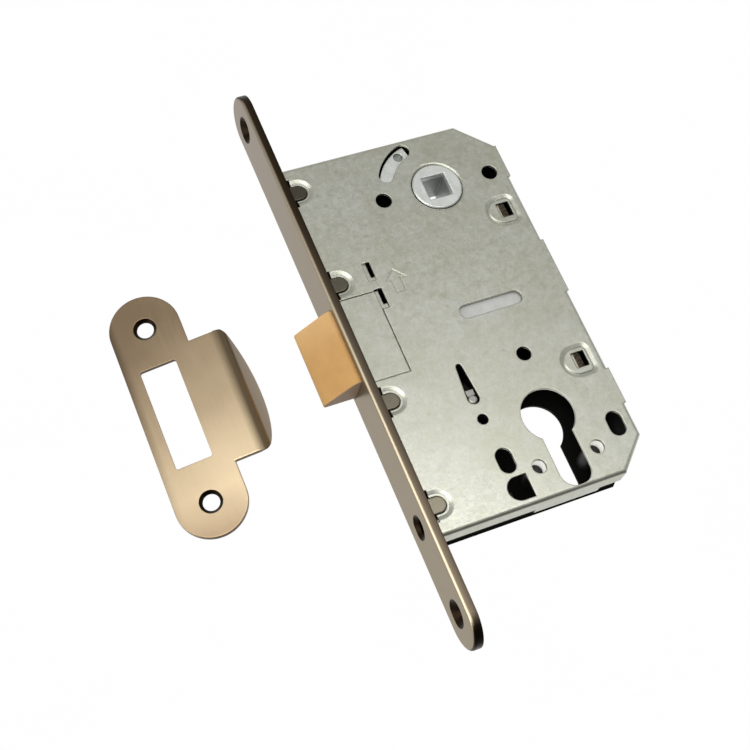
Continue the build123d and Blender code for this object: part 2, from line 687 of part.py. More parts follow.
with BuildPart() as follower_hub:
    for low, high, radius in (
        (-CASE_HALF - 0.15, -INNER + 0.1, JOURNAL_R),
        (-INNER + 0.1, UPPER_ARM_Y[1] + 0.4, HUB_BARREL_R),
        (UPPER_ARM_Y[1] + 0.4, LEVER_LAYER[1] + 0.2, HUB_NECK_R),
        (LEVER_LAYER[1] + 0.2, INNER - 0.1, HUB_WAIST_R),
        (INNER - 0.1, CASE_HALF + 0.15, JOURNAL_R),
    ):
        with BuildSketch(side_plane(high)):
            with Locations((BACKSET, 0)):
                Circle(radius)
        extrude(amount=high - low)
    face_rims = follower_hub.edges().filter_by(GeomType.CIRCLE)
    chamfer(face_rims.filter_by(lambda e: abs(e.center().Y) > CASE_HALF), 0.35)
    # Spring arm, seen through the curved slot
    with BuildSketch(side_plane(UPPER_ARM_Y[1])):
        with BuildLine():
            arm_start = UPPER_ARM_ANGLES[0]
            arm_sweep = UPPER_ARM_ANGLES[1] - arm_start
            outer = CenterArc((BACKSET, 0), UPPER_ARM_R, arm_start, arm_sweep)
            inner = CenterArc((BACKSET, 0), HUB_NECK_R, arm_start, arm_sweep)
            Line(outer @ 0, inner @ 0)
            Line(outer @ 1, inner @ 1)
        make_face()
    extrude(amount=UPPER_ARM_Y[1] - UPPER_ARM_Y[0])
    with BuildSketch(side_plane(UPPER_ARM_Y[0] + 0.9)):
        with Locations(turned_about_y(ARC_REACH, hole_angle)):
            Circle(1.6)
    extrude(amount=1.0, mode=Mode.SUBTRACT)
    # Drive arm, which moves the retractor lever
    with BuildSketch(side_plane(LEVER_LAYER[1])):
        with Locations(turned_about_y(ARM_REACH, nose_angle)):
            Circle(ARM_NOSE_R)
        with BuildLine():
            Polyline(
                turned_about_y(8.0, nose_angle - 20),
                turned_about_y(8.0, nose_angle + 20),
                turned_about_y(12.0, nose_angle + 5),
                turned_about_y(ARM_REACH, nose_angle + 4.5),
                turned_about_y(ARM_REACH, nose_angle - 4.5),
                turned_about_y(12.0, nose_angle - 5),
                close=True,
            )
        make_face()
    extrude(amount=LEVER_LAYER[1] - LEVER_LAYER[0])
    # Peg on the drive arm, which the return spring presses
    with BuildSketch(side_plane(PEG_END)):
        with Locations(turned_about_y(PEG_REACH, nose_angle)):
            Circle(PEG_R)
    extrude(amount=PEG_END - LEVER_LAYER[1])
    with BuildSketch(side_plane(CASE_HALF + 1)):
        with Locations((BACKSET, 0)):
            Rectangle(SPINDLE_SQUARE, SPINDLE_SQUARE)
    extrude(amount=2 * CASE_HALF + 2, mode=Mode.SUBTRACT)
    square_rims = follower_hub.edges().filter_by(GeomType.LINE)
    square_rims = square_rims.filter_by(lambda e: abs(abs(e.center().Y) - CASE_HALF - 0.15) < 0.01)
    chamfer(square_rims, 0.3)
finish(follower_hub, "follower_hub", ZINC)

# Helix takes no work plane, so the coil is turned into place by its plane
coil_plane = Plane(
    origin=(BACKSET, COIL_BACK, 0),
    x_dir=(cos(radians(fixed_leg_angle)), 0, sin(radians(fixed_leg_angle))),
    z_dir=(0, -1, 0),
)
coil_height = COIL_BACK - COIL_FRONT
coil = coil_plane * Helix(coil_height / coil_turns, coil_height, RETURN_COIL_R, lefthand=True)

with BuildPart() as return_spring:
    with BuildSketch(coil ^ 0):
        Circle(RETURN_WIRE_R)
    sweep(path=coil, is_frenet=True)
    for angle, depth, reach in (
        (fixed_leg_angle, COIL_BACK, 20.0),
        (free_leg_angle, COIL_FRONT, 15.4),
    ):
        outwards = (cos(radians(angle)), 0, sin(radians(angle)))
        leg_start = (
            BACKSET + (RETURN_COIL_R - RETURN_WIRE_R / 2) * outwards[0],
            depth,
            (RETURN_COIL_R - RETURN_WIRE_R / 2) * outwards[2],
        )
        with BuildSketch(Plane(origin=leg_start, z_dir=outwards)):
            Circle(RETURN_WIRE_R)
        extrude(amount=reach - RETURN_COIL_R)
finish(return_spring, "return_spring", STEEL)


def staked_post(centre, radius, front, foot=INNER):
    """Round post standing on the back shell and staked through it; returns the builder."""
    with BuildPart() as post:
        with BuildSketch(side_plane(foot)):
            with Locations(centre):
                Circle(radius)
        extrude(amount=foot - front)
        with BuildSketch(side_plane(CASE_HALF)):
            with Locations(centre):
                Circle(STAKE_R)
        extrude(amount=CASE_HALF - foot)
    return post


return_spring_post = staked_post(RETURN_POST, POST_R, 1.5)
finish(return_spring_post, "return_spring_post", DARK_STEEL)


# ---------------------------------------------------------------- retractor lever
def from_pivot(along, across=0.0):
    """Point on the retractor lever at rest: along its length from the pivot, upwards, and across it."""
    x, z = LEVER_PIVOT
    return (
        x + along * sin(lever_swing) + across * cos(lever_swing),
        z + along * cos(lever_swing) - across * sin(lever_swing),
    )


fork_half = ARM_NOSE_R + LEVER_SLOT_GAP
fork_outer_half = fork_half + 2.0

with BuildPart() as retractor_lever:
    with BuildSketch(side_plane(LEVER_LAYER[1])):
        with BuildLine():
            Polyline(
                LEVER_PIVOT,
                from_pivot(3.0, -fork_outer_half),
                from_pivot(13.3, -fork_outer_half),
                from_pivot(13.3, fork_outer_half),
                from_pivot(3.0, fork_outer_half),
                close=True,
            )
        make_face()
        with Locations(LEVER_PIVOT):
            Circle(BOSS_R)
        with BuildLine():
            Polyline(
                from_pivot(0, -3.4),
                from_pivot(0, 3.4),
                from_pivot(-lever_reach, 1.3),
                from_pivot(-lever_reach, -1.3),
                close=True,
            )
        make_face()
        with Locations(from_pivot(-lever_reach)):
            Circle(LEVER_NOSE_R)
        with BuildLine():
            Polyline(
                from_pivot(8.3, -fork_half),
                from_pivot(16.0, -fork_half),
                from_pivot(16.0, fork_half),
                from_pivot(8.3, fork_half),
                close=True,
            )
        make_face(mode=Mode.SUBTRACT)
        with Locations(LEVER_PIVOT):
            Circle(PIVOT_R + BEARING_GAP, mode=Mode.SUBTRACT)
    extrude(amount=LEVER_LAYER[1] - LEVER_LAYER[0])
finish(retractor_lever, "retractor_lever", STEEL)

with BuildPart() as retractor_pivot:
    for radius, low, high in (
        (4.0, LEVER_LAYER[1] + 0.1, INNER),
        (PIVOT_R, LEVER_LAYER[0] - 0.2, LEVER_LAYER[1] + 0.1),
        (STAKE_R, INNER, CASE_HALF),
    ):
        with BuildSketch(side_plane(high)):
            with Locations(LEVER_PIVOT):
                Circle(radius)
        extrude(amount=high - low)
finish(retractor_pivot, "retractor_pivot", DARK_STEEL)


# ---------------------------------------------------------------- key lever
cam_point = (KEY_AXLE[0] + KEY_CAM_POINT[0], KEY_AXLE[1] + KEY_CAM_POINT[1])
key_nose = (
    KEY_AXLE[0] - KEY_NOSE_REACH * sin(key_swing),
    KEY_AXLE[1] + KEY_NOSE_REACH * cos(key_swing),
)

with BuildPart() as key_lever:
    with BuildSketch(side_plane(KEY_LAYER[1] - 0.2)):
        with Locations(key_nose):
            Circle(KEY_NOSE_R)
    with BuildSketch(side_plane(KEY_LAYER[1] - 0.2)):
        with Locations(key_nose):
            Circle(1.0)
        with Locations(KEY_AXLE):
            Circle(3.4)
        make_hull()
    with BuildSketch(side_plane(KEY_LAYER[1] - 0.2)):
        with Locations(cam_point):
            Circle(2.2)
        with Locations(KEY_AXLE):
            Circle(3.4)
        make_hull()
    extrude(amount=KEY_LAYER[1] - KEY_LAYER[0] - 0.4)
    with BuildSketch(side_plane(KEY_LAYER[1])):
        with Locations(KEY_AXLE):
            Circle(KEY_AXLE_R + BEARING_GAP)
    extrude(amount=4, mode=Mode.SUBTRACT)
finish(key_lever, "key_lever", STEEL)

with BuildPart() as key_lever_axle:
    with BuildSketch(side_plane(CASE_HALF)):
        with Locations(KEY_AXLE):
            Circle(KEY_AXLE_R)
    extrude(amount=2 * CASE_HALF - 0.6)
    fillet(key_lever_axle.edges().filter_by(lambda e: e.center().Y < -INNER), 0.7)
    # Flat key in the cover's slot, which keeps the axle from turning
    x, z = KEY_AXLE
    block((x - 1.3, x + 1.3), (-INNER - 0.3, -INNER + 0.8), (z + 1.2, z + 3.1))
finish(key_lever_axle, "key_lever_axle", STEEL)


# ---------------------------------------------------------------- tenons and screw sleeves
with BuildPart() as tenon_posts:
    for centre, front in zip([*TENON_CENTRES, SPARE_TENON], TENON_FRONTS):
        x, z = centre
        block((x - 2.0, x + 1.0), (front, INNER), (z - 2.4, z + 2.4))
    front_corners = tenon_posts.edges().filter_by(lambda e: e.center().Y < -INNER)
    fillet(front_corners.filter_by(Axis.Z), 0.7)
    with BuildSketch(side_plane(CASE_HALF)):
        with Locations(*TENON_CENTRES, SPARE_TENON):
            Circle(STAKE_R)
    extrude(amount=SHEET)
finish(tenon_posts, "tenon_posts", DARK_STEEL)

with BuildPart() as screw_sleeves:
    with BuildSketch(side_plane(INNER)):
        with Locations((BACKSET, SLEEVE_Z)):
            with GridLocations(SLEEVE_SPACING, 1, 2, 1):
                Circle(3.1)
                Circle(SLEEVE_R, mode=Mode.SUBTRACT)
    extrude(amount=2 * INNER)
finish(screw_sleeves, "screw_sleeves", STEEL)


# ---------------------------------------------------------------- strike plate
tilt = radians(STRIKE_TILT)
bend = radians(STRIKE_BEND_ANGLE)
strike_front = Plane(
    origin=STRIKE_ORIGIN,
    x_dir=(cos(tilt), -sin(tilt), 0),
    z_dir=(-sin(tilt), -cos(tilt), 0),
)
strike_middle = -STRIKE_SCREW_SPACING / 2
outer_bend_r = STRIKE_BEND_R + STRIKE_THICKNESS
bend_end = (
    STRIKE_BEND_AT + outer_bend_r * sin(bend),
    -outer_bend_r * (1 - cos(bend)),
)

with BuildPart() as strike_plate:
    with BuildSketch(strike_front.offset(-STRIKE_THICKNESS)):
        with Locations((0, strike_middle)):
            SlotCenterToCenter(STRIKE_SCREW_SPACING, STRIKE_WIDTH, rotation=90)
        with Locations((STRIKE_BEND_AT / 2, strike_middle)):
            Rectangle(STRIKE_BEND_AT, STRIKE_TAB_WIDTH)
    extrude(amount=STRIKE_THICKNESS)
    # Soft front rim, all round except where the bend begins
    front_face = strike_plate.faces().sort_by(Axis(strike_front.origin, strike_front.z_dir))[-1]
    fillet(front_face.edges().sort_by(Axis(strike_front.origin, strike_front.x_dir))[:-1], STRIKE_RIM_R)
    # Bend and lip: a profile across the plate, extruded along it
    lip_profile = Plane(
        origin=strike_front.from_local_coords((0, strike_middle - STRIKE_TAB_WIDTH / 2, 0)),
        x_dir=strike_front.x_dir,
        z_dir=(0, 0, 1),
    )
    with BuildSketch(lip_profile):
        with BuildLine():
            bend_centre = (STRIKE_BEND_AT, outer_bend_r)
            front_bend = CenterArc(bend_centre, outer_bend_r, -90, STRIKE_BEND_ANGLE)
            lip_front = PolarLine(front_bend @ 1, STRIKE_LIP, STRIKE_BEND_ANGLE)
            tip = PolarLine(lip_front @ 1, STRIKE_THICKNESS, STRIKE_BEND_ANGLE + 90)
            PolarLine(tip @ 1, STRIKE_LIP, STRIKE_BEND_ANGLE + 180)
            back_bend = CenterArc(bend_centre, STRIKE_BEND_R, STRIKE_BEND_ANGLE - 90, -STRIKE_BEND_ANGLE)
            Line(back_bend @ 1, (STRIKE_BEND_AT, 0))
        make_face()
    extrude(amount=STRIKE_TAB_WIDTH)
    # The lip's free end is an arc
    across = strike_front.x_dir
    away = -strike_front.z_dir
    lip_face = Plane(
        origin=strike_front.from_local_coords((bend_end[0], strike_middle, bend_end[1])),
        x_dir=across * cos(bend) + away * sin(bend),
        z_dir=across * sin(bend) - away * cos(bend),
    )
    with BuildSketch(lip_face.offset(-STRIKE_THICKNESS - 2)):
        with Locations((STRIKE_LIP, 0)):
            Rectangle(2 * STRIKE_LIP + 6, STRIKE_TAB_WIDTH + 2)
        with Locations((STRIKE_LIP - STRIKE_LIP_ARC_R, 0)):
            Circle(STRIKE_LIP_ARC_R, mode=Mode.SUBTRACT)
    extrude(amount=STRIKE_THICKNESS + 4, mode=Mode.SUBTRACT)
    with BuildSketch(strike_front.offset(0.1)):
        with Locations((STRIKE_OPENING_SHIFT, strike_middle)):
            RectangleRounded(*STRIKE_OPENING, 0.7)
    extrude(amount=-STRIKE_THICKNESS - 0.2, mode=Mode.SUBTRACT)
    with Locations(strike_front * Location((0, strike_middle, 0))):
        with GridLocations(1, STRIKE_SCREW_SPACING, 1, 2):
            CounterSinkHole(STRIKE_HOLE_R, STRIKE_SINK_R, counter_sink_angle=90)
finish(strike_plate, "strike_plate", BRONZE)
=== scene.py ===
import json
import math

import bmesh
import bpy
from mathutils import Matrix, Vector


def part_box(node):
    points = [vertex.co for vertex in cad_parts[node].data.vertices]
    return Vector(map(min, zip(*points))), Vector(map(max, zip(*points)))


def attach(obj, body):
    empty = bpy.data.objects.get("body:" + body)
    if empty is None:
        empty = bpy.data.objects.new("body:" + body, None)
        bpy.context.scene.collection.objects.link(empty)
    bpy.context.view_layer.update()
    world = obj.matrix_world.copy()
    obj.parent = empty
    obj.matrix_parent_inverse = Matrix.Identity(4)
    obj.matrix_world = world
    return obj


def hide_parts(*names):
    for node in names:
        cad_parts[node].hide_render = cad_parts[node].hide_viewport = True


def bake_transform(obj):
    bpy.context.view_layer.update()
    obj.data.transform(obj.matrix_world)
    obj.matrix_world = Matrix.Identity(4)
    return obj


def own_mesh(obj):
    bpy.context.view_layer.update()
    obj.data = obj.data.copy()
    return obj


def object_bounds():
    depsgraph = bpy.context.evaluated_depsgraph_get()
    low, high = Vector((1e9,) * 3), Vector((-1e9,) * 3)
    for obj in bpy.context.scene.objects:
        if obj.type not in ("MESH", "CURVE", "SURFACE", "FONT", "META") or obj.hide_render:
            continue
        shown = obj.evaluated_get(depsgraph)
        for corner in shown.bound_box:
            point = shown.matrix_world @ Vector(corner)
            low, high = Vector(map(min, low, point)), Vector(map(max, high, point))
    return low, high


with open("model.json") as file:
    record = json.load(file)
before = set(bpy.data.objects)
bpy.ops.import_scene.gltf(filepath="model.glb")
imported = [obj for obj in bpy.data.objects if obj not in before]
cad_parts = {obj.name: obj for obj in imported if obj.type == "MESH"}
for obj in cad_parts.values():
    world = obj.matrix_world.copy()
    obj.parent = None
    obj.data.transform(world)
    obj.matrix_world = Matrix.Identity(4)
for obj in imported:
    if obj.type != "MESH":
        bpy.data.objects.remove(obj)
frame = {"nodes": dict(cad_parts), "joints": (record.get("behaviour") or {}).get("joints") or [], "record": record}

MM = 0.001
MM_PER_METRE = 1000.0
NODES = frame["nodes"]
RECORD = frame["record"]
CAD_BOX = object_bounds()
SET_MIDDLE = (CAD_BOX[0] + CAD_BOX[1]) / 2


# ------------------------------------------------------------------ node helpers
# Rays of each bevel or occlusion node
RAY_SAMPLES = 6
NOISE_SPAN = (0.3, 0.7)


class Shader:
    """A material's node tree, with short ways to add and join nodes."""

    def __init__(self, name):
        self.material = bpy.data.materials.new(name)
        self.material.use_nodes = True
        self.tree = self.material.node_tree
        self.tree.nodes.clear()
        self.output = self.add("ShaderNodeOutputMaterial")
        self.surface = self.add("ShaderNodeBsdfPrincipled")
        self.join(self.surface.outputs[0], self.output.inputs["Surface"])
        self.place = self.add("ShaderNodeNewGeometry").outputs["Position"]
        self.coords = self.add("ShaderNodeTexCoord").outputs["Object"]

    def add(self, kind, **settings):
        """New node of a kind, with its settings."""
        node = self.tree.nodes.new(kind)
        for key, value in settings.items():
            setattr(node, key, value)
        return node

    def join(self, source, target):
        self.tree.links.new(source, target)

    def feed(self, target, value):
        """Sets an input from a socket, a number, a vector or a colour."""
        if isinstance(value, bpy.types.NodeSocket):
            self.join(value, target)
        elif isinstance(value, (tuple, list)) and len(value) == 3 and target.type == "RGBA":
            target.default_value = (*value, 1.0)
        else:
            target.default_value = value

    def maths(self, operation, a, b=0.0):
        """Result of maths on two values, each a socket or a number."""
        node = self.add("ShaderNodeMath", operation=operation)
        self.feed(node.inputs[0], a)
        self.feed(node.inputs[1], b)
        return node.outputs[0]

    def vector_maths(self, operation, a, b=(0.0, 0.0, 0.0)):
        """Node for vector maths on two vectors, each a socket or three numbers."""
        node = self.add("ShaderNodeVectorMath", operation=operation)
        self.feed(node.inputs[0], a)
        self.feed(node.inputs[1], b)
        return node

    def stretched(self, scale):
        """Object coordinates in millimetres, scaled per axis."""
        node = self.add("ShaderNodeMapping")
        self.join(self.coords, node.inputs["Vector"])
        node.inputs["Scale"].default_value = [MM_PER_METRE * factor for factor in scale]
        return node.outputs[0]

    def noise(self, scale, detail=3.0, roughness=0.55, stretch=(1, 1, 1), distortion=0.0):
        """Noise whose scale is in waves per millimetre; its value runs from 0 to 1."""
        node = self.add("ShaderNodeTexNoise")
        self.join(self.stretched(stretch), node.inputs["Vector"])
        node.inputs["Scale"].default_value = scale
        node.inputs["Detail"].default_value = detail
        node.inputs["Roughness"].default_value = roughness
        node.inputs["Distortion"].default_value = distortion
        return node.outputs["Fac"]

    def cells(self, scale, stretch=(1, 1, 1)):
        """Cells whose scale is in cells per millimetre."""
        node = self.add("ShaderNodeTexVoronoi")
        self.join(self.stretched(stretch), node.inputs["Vector"])
        node.inputs["Scale"].default_value = scale
        return node

    def between(self, value, low, high, to_low=0.0, to_high=1.0):
        """Maps a value from one span to another, clamped."""
        node = self.add("ShaderNodeMapRange", clamp=True)
        self.feed(node.inputs["Value"], value)
        node.inputs["From Min"].default_value = low
        node.inputs["From Max"].default_value = high
        node.inputs["To Min"].default_value = to_low
        node.inputs["To Max"].default_value = to_high
        return node.outputs[0]

    def spread(self, noise, to_low=0.0, to_high=1.0):
        """Maps noise, most of which lies in the noise span, to another span."""
        return self.between(noise, *NOISE_SPAN, to_low, to_high)

    def mix(self, factor, a, b):
        """Colour between a, at factor 0, and b, at factor 1."""
        node = self.add("ShaderNodeMix", data_type="RGBA", clamp_factor=True)
        self.feed(node.inputs[0], factor)
        self.feed(node.inputs[6], a)
        self.feed(node.inputs[7], b)
        return node.outputs[2]

    def axis(self, vector, index):
        """X, Y or Z of a vector, by its index."""
        node = self.add("ShaderNodeSeparateXYZ")
        self.join(vector, node.inputs[0])
        return node.outputs[index]

    def millimetres(self, index):
        """The object's own X, Y or Z at the shaded point, in millimetres."""
        return self.maths("MULTIPLY", self.axis(self.coords, index), MM_PER_METRE)

    def soft_edges(self, radius):
        """Normals rounded at sharp edges, so that each edge catches the light."""
        node = self.add("ShaderNodeBevel", samples=RAY_SAMPLES)
        node.inputs["Radius"].default_value = radius * MM
        return node.outputs[0]

    def edge_mask(self, radius, low=0.02, high=0.3):
        """1 on sharp edges and 0 on flats."""
        alignment = self.dot(self.soft_edges(radius), self.normal())
        return self.between(self.maths("SUBTRACT", 1.0, alignment), low, high)

    def hollow(self, reach):
        """1 in the open and 0 deep inside a recess."""
        node = self.add("ShaderNodeAmbientOcclusion", samples=RAY_SAMPLES)
        node.inputs["Distance"].default_value = reach * MM
        return node.outputs["AO"]

    def dot(self, vector, direction):
        """Dot product of two vectors, each a socket or three numbers."""
        return self.vector_maths("DOT_PRODUCT", vector, direction).outputs["Value"]

    def along(self, direction, start):
        """Millimetres along a direction from a point."""
        reach = self.maths("SUBTRACT", self.dot(self.coords, direction), Vector(start).dot(direction))
        return self.maths("MULTIPLY", reach, MM_PER_METRE)

    def normal(self):
        """The surface's own normal."""
        return self.add("ShaderNodeNewGeometry").outputs["Normal"]

    def within_bore(self, centre, axis, radius):
        """1 within a radius in millimetres of a line through a point, and 0 outside it."""
        offset = self.vector_maths("SUBTRACT", self.coords, centre).outputs[0]
        cross = self.vector_maths("CROSS_PRODUCT", offset, axis).outputs[0]
        reach = self.vector_maths("LENGTH", cross).outputs["Value"]
        return self.between(reach, (radius - 0.12) * MM, (radius + 0.05) * MM, 1.0, 0.0)

    def bump(self, height, depth, normal):
        """Bump of a given depth in millimetres for a height that runs from 0 to 1."""
        node = self.add("ShaderNodeBump")
        node.inputs["Strength"].default_value = 1.0
        node.inputs["Distance"].default_value = depth * MM
        self.feed(node.inputs["Height"], height)
        self.join(normal, node.inputs["Normal"])
        return node.outputs[0]

    def finish(self, color, roughness, metallic, normal, **others):
        """Feeds the surface and returns the material; other inputs are named with underscores for spaces."""
        inputs = self.surface.inputs
        self.feed(inputs["Base Color"], color)
        self.feed(inputs["Roughness"], roughness)
        self.feed(inputs["Metallic"], metallic)
        self.join(normal, inputs["Normal"])
        for key, value in others.items():
            self.feed(inputs[key.replace("_", " ")], value)
        return self.material


# ------------------------------------------------------------------ materials
def mount_of(name):
    """One of the record's mounts."""
    return next(m for m in RECORD["mounts"] if m["name"] == name)


CASE_MIDDLE = sum(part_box("case_cover"), Vector()) / 2
# Millimetres from the case's middle plane to the inner faces of its two broad sheets
SHEET_DEPTH = 6.0
SHEET_TINT = (0.655, 0.66, 0.59)
# Near black, painted where the inside of the case lies in shade
PAINTED_SHADE_BLACK = (0.008, 0.008, 0.007)
# Radii of the countersinks, in millimetres, by their mounts
SINK_RADII = {
    "faceplate_screws": 4.5,
    "cylinder_screw": 4.0,
    "strike_screw_upper": 3.6,
    "strike_screw_lower": 3.6,
}


def faces_out(s):
    """Positive where a surface faces away from the middle of the case, and negative where it faces it."""
    outwards = s.vector_maths("SUBTRACT", s.place, (CASE_MIDDLE.x, 0.0, CASE_MIDDLE.z)).outputs[0]
    return s.dot(s.normal(), outwards)


# Mask of painted shade on the cover's inner faces
def inside_cover(s):
    """1 on the cover's inner faces: behind the sheet, and facing the middle of the case."""
    behind = s.between(s.millimetres(1), -SHEET_DEPTH - 0.2, -SHEET_DEPTH - 0.05)
    return s.maths("MULTIPLY", behind, s.between(faces_out(s), -0.5 * MM, 0.5 * MM, 1.0, 0.0))


# Mask of painted shade inside the back shell, and slightly less on the outside of its walls, which lie in shade
def inside_back(s):
    """1 inside the back shell, slightly less outside its walls and 0 on its broad outer face."""
    depth = s.maths("ABSOLUTE", s.millimetres(1))
    inner = s.between(depth, SHEET_DEPTH + 0.05, SHEET_DEPTH + 0.2, 1.0, 0.0)
    edges = s.between(s.axis(s.normal(), 1), 0.3, 0.6, 1.0, 0.0)
    share = s.between(faces_out(s), -0.5 * MM, 0.5 * MM, 1.0, 0.93)
    return s.maths("MULTIPLY", s.maths("MAXIMUM", inner, edges), share)


# Mask of painted shade deep inside the case
def deep_in_case(s):
    """1 deep between the two sheets, fading to 0 just behind them."""
    depth = s.maths("ABSOLUTE", s.millimetres(1))
    return s.between(depth, SHEET_DEPTH - 1.1, SHEET_DEPTH - 0.3, 1.0, 0.0)


def with_painted_shade(s, color, painted_shade):
    """Colour, metallic share and specular level of a metal turned partly near black by painted shade."""
    metallic = s.between(painted_shade, 0.0, 1.0, 1.0, 0.0)
    glint = s.between(painted_shade, 0.0, 1.0, 0.5, 0.05)
    return s.mix(painted_shade, color, PAINTED_SHADE_BLACK), metallic, glint


def sheet_steel(name, inside):
    """Galvanised sheet: mottled greenish grey, rolled grain, small pits, and painted black shade inside the case.
    """
    s = Shader(name)
    cloud = s.noise(0.07, 4, 0.6)
    mottle = s.noise(0.42, 5, 0.65, distortion=0.6)
    grain = s.noise(2.2, 4, 0.7, stretch=(0.25, 1, 1))
    tone = s.maths("ADD", s.spread(cloud, -0.5, 0.5), s.spread(mottle, -0.5, 0.5))
    warm = [c * k for c, k in zip(SHEET_TINT, (0.90, 0.90, 0.82))]
    cool = [c * 1.04 for c in SHEET_TINT]
    color = s.mix(s.between(tone, -0.5, 0.5), warm, cool)
    blotch = s.between(s.noise(0.16, 3, 0.5), 0.5, 0.72)
    color = s.mix(s.maths("MULTIPLY", blotch, 0.25), color, [c * 0.8 for c in warm])
    spangle = s.cells(1.1, stretch=(1, 1, 1.6)).outputs["Color"]
    flakes = s.between(s.axis(spangle, 0), 0.0, 1.0, -0.035, 0.035)
    speckle = s.between(s.noise(1.1, 5, 0.75, distortion=1.0), 0.35, 0.65, 0.0, 0.3)
    color = s.mix(speckle, color, [c * 0.6 for c in warm])
    # Painted shade: near black where the inside mask is 1, and rougher there
    painted_shade = inside(s)
    color, metallic, glint = with_painted_shade(s, color, painted_shade)
    matt = s.spread(mottle, 0.31, 0.39)
    roughness = s.maths("ADD", matt, s.spread(grain, -0.03, 0.03))
    roughness = s.maths("ADD", s.maths("ADD", roughness, flakes), s.maths("MULTIPLY", painted_shade, 0.3))
    pits = s.between(s.cells(0.9).outputs["Distance"], 0.0, 0.12, -0.4, 0.0)
    dents = s.maths("MULTIPLY", s.noise(0.8, 4, 0.6), 0.6)
    height = s.maths("ADD", dents, s.maths("ADD", s.maths("MULTIPLY", grain, 0.25), pits))
    normal = s.bump(height, 0.014, s.soft_edges(0.45))
    return s.finish(color, roughness, metallic, normal, Specular_IOR_Level=glint)


def brushed_plating(s, light, dark, shade):
    """Brushing and colour of the plating, from the dark colour at shade 0 to the light one at 1; the shade is
    partly patina and partly painted light.
    """
    brushed = s.noise(6.0, 3, 0.6, stretch=(1, 1, 0.02))
    cloud = s.spread(s.noise(0.05, 3, 0.55), -0.12, 0.12)
    tone = s.maths("ADD", cloud, s.spread(brushed, -0.05, 0.05))
    return brushed, s.mix(s.maths("ADD", tone, shade), dark, light)


def finish_plating(s, brushed, color, *sinks):
    """Plating with painted near-black shade in the screw sinks and bores of the named mounts."""
    # Painted shade in each sink and its bore
    for centre, axis, radius in screw_sinks(*sinks):
        color = s.mix(s.within_bore(centre, axis, radius), color, (0.022, 0.014, 0.008))
    roughness = s.spread(brushed, 0.29, 0.36)
    normal = s.bump(brushed, 0.0025, s.soft_edges(0.3))
    return s.finish(color, roughness, 1.0, normal, Anisotropic=0.35)


def faceplate_bronze():
    """Faceplate: brushed plating, dark on its upper sides (patina and painted shade) and on its ends, with a
    painted highlight on its lower rounded corners.
    """
    s = Shader("antique_bronze_plate")
    height = s.millimetres(2)
    across = s.millimetres(1)
    # Shade runs towards the light colour at the bottom and on the -Y side: partly patina, partly painted light
    downwards = s.between(height, 55.0, -60.0, 0.1, 0.9)
    shade = s.maths("ADD", downwards, s.between(across, -9.0, -3.0, 0.2, 0.0))
    brushed, color = brushed_plating(s, (0.33, 0.27, 0.18), (0.355, 0.30, 0.24), shade)
    facing = s.maths("ABSOLUTE", s.dot(s.normal(), mount_of("faceplate_front")["axis"]))
    depth = s.between(s.millimetres(0), 0.8, 2.8, 1.0, 0.4)
    # Sides: dark patina, with painted shade darkening them towards the top and painted reflection lightening them
    # lower down
    side_patina_and_shade = s.mix(s.between(height, -45.0, 5.0), (0.17, 0.135, 0.095), (0.055, 0.038, 0.022))
    # Painted shade, nearly black, towards the back edge where the plate meets the case
    side_patina_and_shade = s.mix(depth, (0.02, 0.014, 0.008), side_patina_and_shade)
    color = s.mix(s.between(facing, 0.08, 0.55, 1.0, 0.0), color, side_patina_and_shade)
    # Painted highlight along the rounded corners between front and sides, strongest low down
    corner = s.maths("MULTIPLY", s.between(facing, 0.25, 0.55), s.between(facing, 0.8, 0.97, 1.0, 0.0))
    painted_edge_highlight = s.maths("MULTIPLY", corner, s.between(height, 30.0, -70.0, 0.1, 0.85))
    color = s.mix(painted_edge_highlight, color, (0.86, 0.74, 0.53))
    ends = s.between(s.maths("ABSOLUTE", s.axis(s.normal(), 2)), 0.2, 0.45)
    color = s.mix(ends, color, (0.03, 0.021, 0.013))
    return finish_plating(s, brushed, color, "faceplate_screws", "cylinder_screw")


def strike_bronze():
    """Strike plate: plated and brushed, its tone partly patina and partly painted light; painted shade on its far
    rim, its bend and its lip; its edges dark with patina and painted shade.
    """
    s = Shader("antique_bronze_strike")
    face = Vector(mount_of("strike_back")["axis"])
    across = s.along((face.y, -face.x, 0.0), mount_of("strike_screw_upper")["pos_m"])
    height = s.millimetres(2)
    # Shade rises towards the bottom and the lip side and drops again at the very bottom: partly patina, partly
    # painted reflection of the lamps
    downwards = s.between(height, -15.0, -62.0, 0.05, 0.95)
    shade = s.maths("ADD", downwards, s.between(across, -11.0, 8.0, -0.25, 0.05))
    shade = s.maths("ADD", shade, s.between(height, -72.0, -84.0, 0.0, -0.7))
    brushed, color = brushed_plating(s, (0.72, 0.57, 0.37), (0.335, 0.24, 0.15), shade)
    facing = s.maths("ABSOLUTE", s.dot(s.normal(), face))
    # Painted shade on the far rim, stronger towards its top
    far_rim = s.between(across, -11.0, -8.5, 0.85, 0.0)
    rim = s.maths("MULTIPLY", far_rim, s.between(height, -65.0, -20.0, 0.3, 1.0))
    color = s.mix(rim, color, (0.12, 0.09, 0.06))
    # Painted shade on the bend and the lip, which turn away from the light; it lightens towards the lip's edge
    lip = s.mix(s.between(across, 20.5, 25.5), (0.20, 0.15, 0.09), (0.32, 0.24, 0.15))
    color = s.mix(s.between(across, 17.5, 20.5), color, lip)
    # Side walls and edges dark: patina and painted shade
    color = s.mix(s.between(facing, 0.08, 0.3, 1.0, 0.0), color, (0.085, 0.058, 0.034))
    return finish_plating(s, brushed, color, "strike_screw_upper", "strike_screw_lower")


